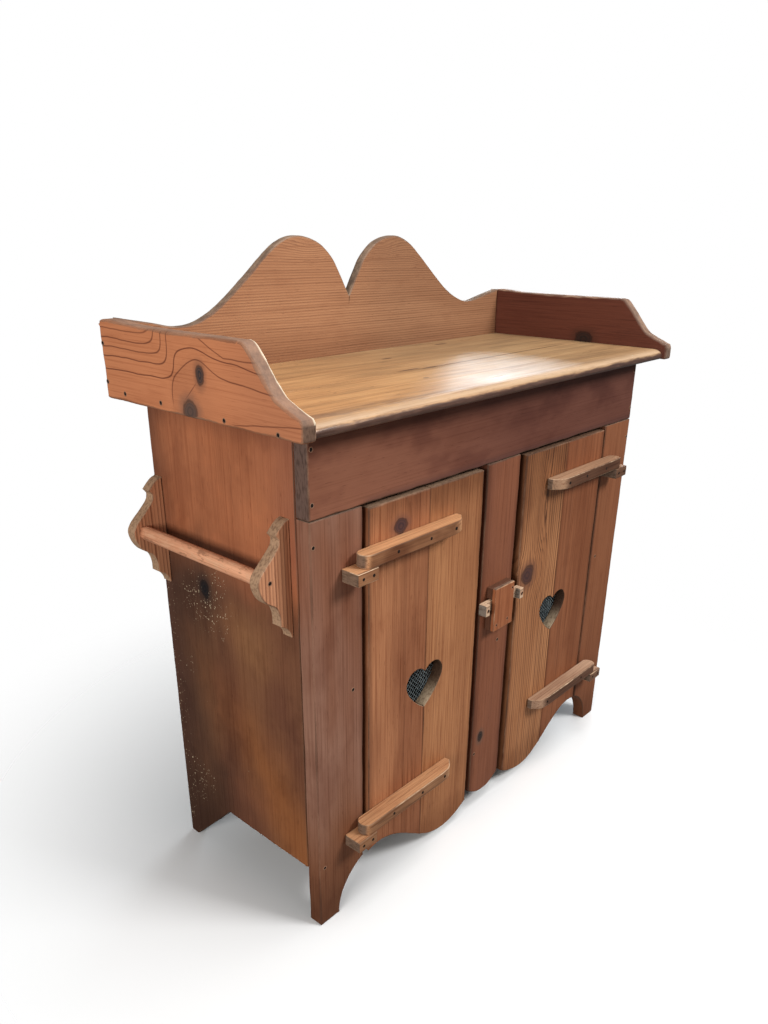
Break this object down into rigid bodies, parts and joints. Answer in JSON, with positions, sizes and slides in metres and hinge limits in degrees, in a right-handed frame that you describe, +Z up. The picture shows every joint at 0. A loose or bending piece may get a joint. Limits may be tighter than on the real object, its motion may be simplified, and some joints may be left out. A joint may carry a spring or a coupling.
{
  "type": "dry sink",
  "caption": "Low pine cupboard with a galleried top and humped backsplash, plank doors with hearts on wooden pintle hinges, a sliding bolt and side towel bars.",
  "frame": {"origin": "on the floor under the middle of the box round the whole object", "axes": "+Z up, front faces -Y, +X to the right seen from the front"},
  "size_m": [1.0516, 0.4403, 1.078],
  "materials": {
    "pine_side": "old oiled pine, orange brown",
    "pine_frame": "old oiled pine, reddish brown",
    "pine_inside": "dull unfinished pine",
    "pine_top": "satin worn pine, golden tan",
    "pine_gallery": "old oiled pine with dark ring lines",
    "pine_door": "old oiled pine, warm tan",
    "pine_hinge": "bare handled pine, pale tan",
    "zinc_mesh": "galvanised wire",
    "iron": "rusted iron"
  },
  "bodies": {
    "case": {"left_side_panel": "pine_side", "right_side_panel": "pine_side", "top_rail": "pine_frame", "left_stile": "pine_frame", "right_stile": "pine_frame", "centre_stile": "pine_frame", "back_board_1": "pine_inside", "back_board_2": "pine_inside", "back_board_3": "pine_inside", "back_board_4": "pine_inside", "back_board_5": "pine_inside", "bottom_shelf": "pine_inside", "middle_shelf": "pine_inside", "bottom_left_cleat": "pine_inside", "bottom_right_cleat": "pine_inside", "middle_left_cleat": "pine_inside", "middle_right_cleat": "pine_inside", "top_board_front": "pine_top", "top_board_rear": "pine_top", "backsplash": "pine_gallery", "left_gallery": "pine_gallery", "right_gallery": "pine_gallery", "left_upper_hinge_block": "pine_hinge", "left_lower_hinge_block": "pine_hinge", "right_upper_hinge_block": "pine_hinge", "right_lower_hinge_block": "pine_hinge", "left_upper_hinge_pin": "iron", "left_lower_hinge_pin": "iron", "right_upper_hinge_pin": "iron", "right_lower_hinge_pin": "iron", "keeper_plate": "pine_frame", "keeper_spacer_upper": "pine_frame", "keeper_spacer_lower": "pine_frame", "left_front_towel_bracket": "pine_side", "left_rear_towel_bracket": "pine_side", "right_front_towel_bracket": "pine_side", "right_rear_towel_bracket": "pine_side", "left_towel_rod": "pine_hinge", "right_towel_rod": "pine_hinge", "left_front_towel_nail": "iron", "left_rear_towel_nail": "iron", "right_front_towel_nail": "iron", "right_rear_towel_nail": "iron"},
    "left_door": {"left_door_outer_board": "pine_door", "left_door_inner_board": "pine_door", "left_heart_screen": "zinc_mesh", "left_upper_hinge_bar": "pine_hinge", "left_lower_hinge_bar": "pine_hinge"},
    "right_door": {"right_door_outer_board": "pine_door", "right_door_inner_board": "pine_door", "right_heart_screen": "zinc_mesh", "right_upper_hinge_bar": "pine_hinge", "right_lower_hinge_bar": "pine_hinge"},
    "latch_bolt": {"latch_bolt": "pine_hinge"}
  },
  "joints": [
    {"name": "left_door_hinge", "type": "hinge", "parent": "case", "child": "left_door", "pos_m": [-0.372, -0.19095, 0], "axis": [0, 0, -1], "range_deg": [0, 165]},
    {"name": "right_door_hinge", "type": "hinge", "parent": "case", "child": "right_door", "pos_m": [0.372, -0.19095, 0], "axis": [0, 0, 1], "range_deg": [0, 165]},
    {"name": "latch_slide", "type": "slide", "parent": "case", "child": "latch_bolt", "axis": [1, 0, 0], "range_m": [-0.0155, 0.0155]}
  ]
}
